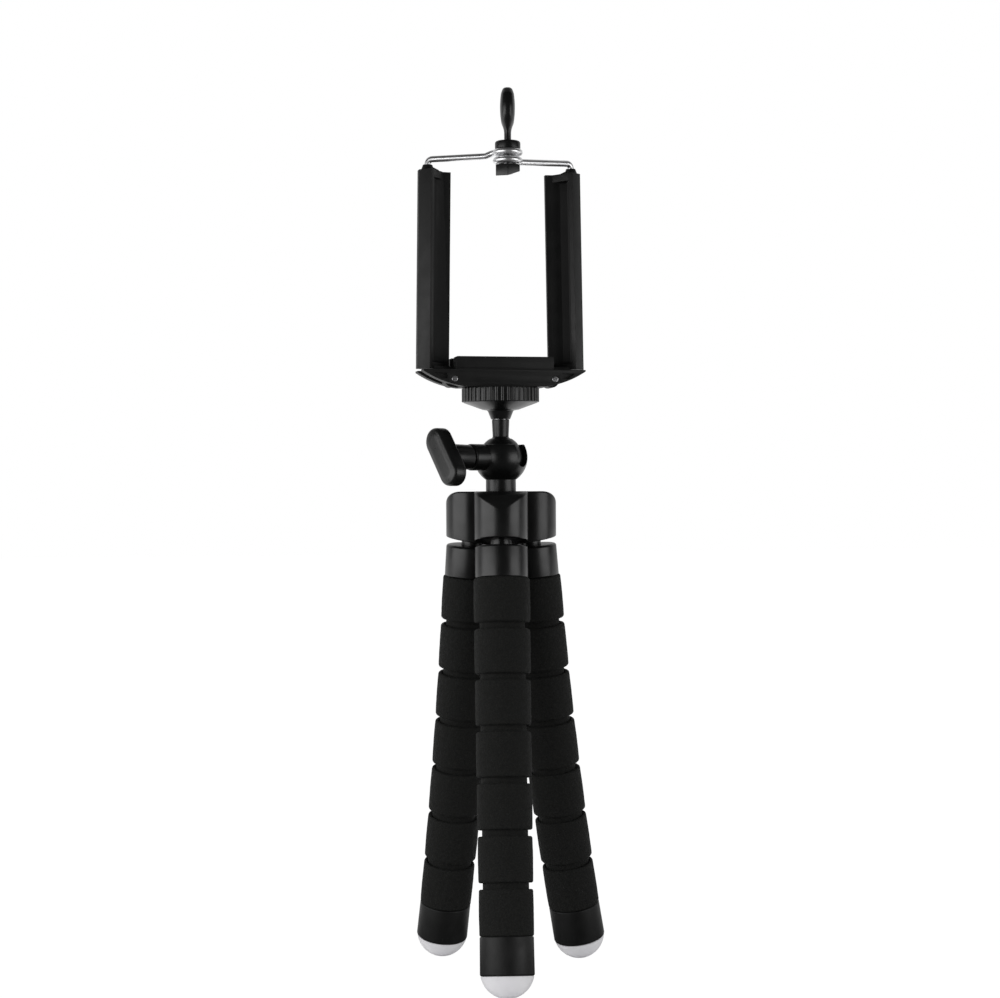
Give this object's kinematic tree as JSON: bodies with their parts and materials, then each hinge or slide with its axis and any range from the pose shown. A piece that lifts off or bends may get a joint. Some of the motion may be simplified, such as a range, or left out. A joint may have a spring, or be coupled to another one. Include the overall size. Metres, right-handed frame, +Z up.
{
  "type": "flexible phone tripod",
  "caption": "Small tripod with bendable foam-covered legs, a ball head locked by a T-knob and a phone clip whose V-shaped jaws are drawn together by wire links.",
  "frame": {"origin": "on the floor, under the middle of the tripod's bounding box", "axes": "+Z up through the head, -Y to the front of the phone clip, +X to its right as seen from the front"},
  "size_m": [0.0804, 0.0968, 0.3504],
  "materials": {
    "foam": "matte",
    "core": "gloss",
    "gloss_black": "gloss",
    "satin_black": "satin",
    "tip": "satin",
    "steel": "satin",
    "nylon": "satin",
    "lining": "matte",
    "brass": "satin",
    "chrome": "polished"
  },
  "bodies": {
    "base": {"hub": "gloss_black", "socket_screw": "steel", "ball_socket": "gloss_black", "brake_pad": "nylon"},
    "liner": {"ball_liner": "nylon"},
    "ball": {"ball_stem": "gloss_black", "camera_screw": "steel"},
    "disc": {"lock_disc": "satin_black", "disc_pad": "lining"},
    "knob": {"lock_knob": "satin_black", "lock_screw": "steel"},
    "clip": {"clip_base": "satin_black", "thread_insert": "brass", "hinge_pin_left": "steel", "hinge_pin_right": "steel"},
    "jaw_left": {"arm_left": "satin_black", "arm_pad_left": "lining"},
    "jaw_right": {"arm_right": "satin_black", "arm_pad_right": "lining"},
    "wire_left": {"link_left": "chrome", "clamp_nut": "satin_black"},
    "wire_right": {"link_right": "chrome"},
    "screw": {"thumbscrew": "satin_black", "thumbscrew_stud": "steel"},
    "leg_front_1": {"top_ferrule_front": "gloss_black", "foam_ring_front_1": "foam", "leg_core_front": "core", "foam_tube_front": "foam"},
    "leg_front_2": {"foam_ring_front_2": "foam"},
    "leg_front_3": {"foam_ring_front_3": "foam"},
    "leg_front_4": {"foam_ring_front_4": "foam"},
    "leg_front_5": {"foam_ring_front_5": "foam"},
    "leg_front_6": {"foam_ring_front_6": "foam"},
    "leg_front_7": {"foam_ring_front_7": "foam", "end_ferrule_front": "gloss_black", "foot_tip_front": "tip"},
    "leg_left_1": {"top_ferrule_left": "gloss_black", "foam_ring_left_1": "foam", "leg_core_left": "core", "foam_tube_left": "foam"},
    "leg_left_2": {"foam_ring_left_2": "foam"},
    "leg_left_3": {"foam_ring_left_3": "foam"},
    "leg_left_4": {"foam_ring_left_4": "foam"},
    "leg_left_5": {"foam_ring_left_5": "foam"},
    "leg_left_6": {"foam_ring_left_6": "foam"},
    "leg_left_7": {"foam_ring_left_7": "foam", "end_ferrule_left": "gloss_black", "foot_tip_left": "tip"},
    "leg_right_1": {"top_ferrule_right": "gloss_black", "foam_ring_right_1": "foam", "leg_core_right": "core", "foam_tube_right": "foam"},
    "leg_right_2": {"foam_ring_right_2": "foam"},
    "leg_right_3": {"foam_ring_right_3": "foam"},
    "leg_right_4": {"foam_ring_right_4": "foam"},
    "leg_right_5": {"foam_ring_right_5": "foam"},
    "leg_right_6": {"foam_ring_right_6": "foam"},
    "leg_right_7": {"foam_ring_right_7": "foam", "end_ferrule_right": "gloss_black", "foot_tip_right": "tip"}
  },
  "joints": [
    {"name": "front_neck", "type": "hinge", "parent": "base", "child": "leg_front_1", "pos_m": [-0.00908, -0.01061, 0.17286], "axis": [-0.9877, 0.1564, 0], "range_deg": [-5, 12], "deforming": ["leg_core_front"]},
    {"name": "front_bend_1", "type": "hinge", "parent": "leg_front_1", "child": "leg_front_2", "pos_m": [-0.00969, -0.01451, 0.13949], "axis": [-0.1551, -0.9793, 0.1302], "range_deg": [-11, 11], "deforming": ["leg_core_front", "foam_tube_front"]},
    {"name": "front_bend_2", "type": "hinge", "parent": "leg_front_2", "child": "leg_front_3", "pos_m": [-0.01013, -0.01723, 0.11968], "axis": [0.9877, -0.1564, 0], "range_deg": [-11, 11], "deforming": ["leg_core_front", "foam_tube_front"]},
    {"name": "front_bend_3", "type": "hinge", "parent": "leg_front_3", "child": "leg_front_4", "pos_m": [-0.0106, -0.02025, 0.09992], "axis": [0.1544, 0.9749, -0.1606], "range_deg": [-11, 11], "deforming": ["leg_core_front", "foam_tube_front"]},
    {"name": "front_bend_4", "type": "hinge", "parent": "leg_front_4", "child": "leg_front_5", "pos_m": [-0.01113, -0.02357, 0.08021], "axis": [-0.9877, 0.1564, 0], "range_deg": [-11, 11], "deforming": ["leg_core_front", "foam_tube_front"]},
    {"name": "front_bend_5", "type": "hinge", "parent": "leg_front_5", "child": "leg_front_6", "pos_m": [-0.0117, -0.0272, 0.06055], "axis": [-0.1536, -0.9695, 0.1909], "range_deg": [-11, 11], "deforming": ["leg_core_front", "foam_tube_front"]},
    {"name": "front_bend_6", "type": "hinge", "parent": "leg_front_6", "child": "leg_front_7", "pos_m": [-0.01232, -0.03112, 0.04094], "axis": [0.9877, -0.1564, 0], "range_deg": [-11, 11], "deforming": ["leg_core_front", "foam_tube_front"]},
    {"name": "left_neck", "type": "hinge", "parent": "base", "child": "leg_left_1", "pos_m": [-0.01628, 0.01154, 0.17286], "axis": [0.9537, 0.3007, 0], "range_deg": [-5, 12], "deforming": ["leg_core_left"]},
    {"name": "left_bend_1", "type": "hinge", "parent": "leg_left_1", "child": "leg_left_2", "pos_m": [-0.01746, 0.01531, 0.13949], "axis": [-0.2981, 0.9456, 0.1302], "range_deg": [-11, 11], "deforming": ["leg_core_left", "foam_tube_left"]},
    {"name": "left_bend_2", "type": "hinge", "parent": "leg_left_2", "child": "leg_left_3", "pos_m": [-0.01829, 0.01793, 0.11968], "axis": [-0.9537, -0.3007, 0], "range_deg": [-11, 11], "deforming": ["leg_core_left", "foam_tube_left"]},
    {"name": "left_bend_3", "type": "hinge", "parent": "leg_left_3", "child": "leg_left_4", "pos_m": [-0.01921, 0.02085, 0.09992], "axis": [0.2968, -0.9413, -0.1606], "range_deg": [-11, 11], "deforming": ["leg_core_left", "foam_tube_left"]},
    {"name": "left_bend_4", "type": "hinge", "parent": "leg_left_4", "child": "leg_left_5", "pos_m": [-0.02022, 0.02406, 0.08021], "axis": [0.9537, 0.3007, 0], "range_deg": [-11, 11], "deforming": ["leg_core_left", "foam_tube_left"]},
    {"name": "left_bend_5", "type": "hinge", "parent": "leg_left_5", "child": "leg_left_6", "pos_m": [-0.02133, 0.02756, 0.06055], "axis": [-0.2952, 0.9362, 0.1909], "range_deg": [-11, 11], "deforming": ["leg_core_left", "foam_tube_left"]},
    {"name": "left_bend_6", "type": "hinge", "parent": "leg_left_6", "child": "leg_left_7", "pos_m": [-0.02252, 0.03135, 0.04094], "axis": [-0.9537, -0.3007, 0], "range_deg": [-11, 11], "deforming": ["leg_core_left", "foam_tube_left"]},
    {"name": "right_neck", "type": "hinge", "parent": "base", "child": "leg_right_1", "pos_m": [0.00651, 0.0067, 0.17286], "axis": [0.5446, -0.8387, 0], "range_deg": [-5, 12], "deforming": ["leg_core_right"]},
    {"name": "right_bend_1", "type": "hinge", "parent": "leg_right_1", "child": "leg_right_2", "pos_m": [0.00982, 0.00885, 0.13949], "axis": [0.8315, 0.54, 0.1302], "range_deg": [-11, 11], "deforming": ["leg_core_right", "foam_tube_right"]},
    {"name": "right_bend_2", "type": "hinge", "parent": "leg_right_2", "child": "leg_right_3", "pos_m": [0.01213, 0.01035, 0.11968], "axis": [-0.5446, 0.8387, 0], "range_deg": [-11, 11], "deforming": ["leg_core_right", "foam_tube_right"]},
    {"name": "right_bend_3", "type": "hinge", "parent": "leg_right_3", "child": "leg_right_4", "pos_m": [0.0147, 0.01202, 0.09992], "axis": [-0.8278, -0.5376, -0.1606], "range_deg": [-11, 11], "deforming": ["leg_core_right", "foam_tube_right"]},
    {"name": "right_bend_4", "type": "hinge", "parent": "leg_right_4", "child": "leg_right_5", "pos_m": [0.01752, 0.01385, 0.08021], "axis": [0.5446, -0.8387, 0], "range_deg": [-11, 11], "deforming": ["leg_core_right", "foam_tube_right"]},
    {"name": "right_bend_5", "type": "hinge", "parent": "leg_right_5", "child": "leg_right_6", "pos_m": [0.02059, 0.01585, 0.06055], "axis": [0.8232, 0.5346, 0.1909], "range_deg": [-11, 11], "deforming": ["leg_core_right", "foam_tube_right"]},
    {"name": "right_bend_6", "type": "hinge", "parent": "leg_right_6", "child": "leg_right_7", "pos_m": [0.02392, 0.01801, 0.04094], "axis": [-0.5446, 0.8387, 0], "range_deg": [-11, 11], "deforming": ["leg_core_right", "foam_tube_right"]},
    {"name": "ball_roll", "type": "hinge", "parent": "base", "child": "liner", "pos_m": [-0.00628, 0.00254, 0.20576], "axis": [0.7431, -0.6691, 0], "range_deg": [-20, 20]},
    {"name": "ball_tilt", "type": "hinge", "parent": "liner", "child": "ball", "pos_m": [-0.00628, 0.00254, 0.20576], "axis": [0.6691, 0.7431, 0], "range_deg": [-20, 90]},
    {"name": "disc_spin", "type": "hinge", "parent": "ball", "child": "disc", "pos_m": [-0.00628, 0.00254, 0.22946], "axis": [0, 0, 1], "continuous": true},
    {"name": "clip_swivel", "type": "hinge", "parent": "ball", "child": "clip", "pos_m": [-0.00628, 0.00254, 0.23776], "axis": [0, 0, 1], "continuous": true},
    {"name": "knob_turn", "type": "hinge", "parent": "base", "child": "knob", "pos_m": [-0.02058, -0.00506, 0.20576], "axis": [-0.8829, -0.4695, 0], "continuous": true},
    {"name": "jaw_left_swing", "type": "hinge", "parent": "clip", "child": "jaw_left", "pos_m": [-0.02658, 0.00254, 0.23666], "axis": [0, 1, 0], "range_deg": [-1.2, 3]},
    {"name": "jaw_right_swing", "type": "hinge", "parent": "clip", "child": "jaw_right", "pos_m": [0.01402, 0.00254, 0.23666], "axis": [0, 1, 0], "range_deg": [-3, 1.2]},
    {"name": "wire_left_turn", "type": "hinge", "parent": "jaw_left", "child": "wire_left", "pos_m": [-0.03552, 0.00175, 0.31979], "axis": [0, 0, 1], "range_deg": [-13.81, 5.53]},
    {"name": "wire_right_turn", "type": "hinge", "parent": "jaw_right", "child": "wire_right", "pos_m": [0.02296, 0.00175, 0.31979], "axis": [0, 0, 1], "range_deg": [-5.53, 13.81]},
    {"name": "thumbscrew_turn", "type": "hinge", "parent": "wire_left", "child": "screw", "pos_m": [-0.00628, -0.01345, 0.31966], "axis": [0, 0, 1], "continuous": true}
  ],
  "couplings": [
    {"joint": "jaw_right_swing", "follows": "jaw_left_swing", "ratio": -1},
    {"joint": "wire_left_turn", "follows": "jaw_left_swing", "ratio": -4.6},
    {"joint": "wire_right_turn", "follows": "jaw_left_swing", "ratio": 4.6}
  ]
}
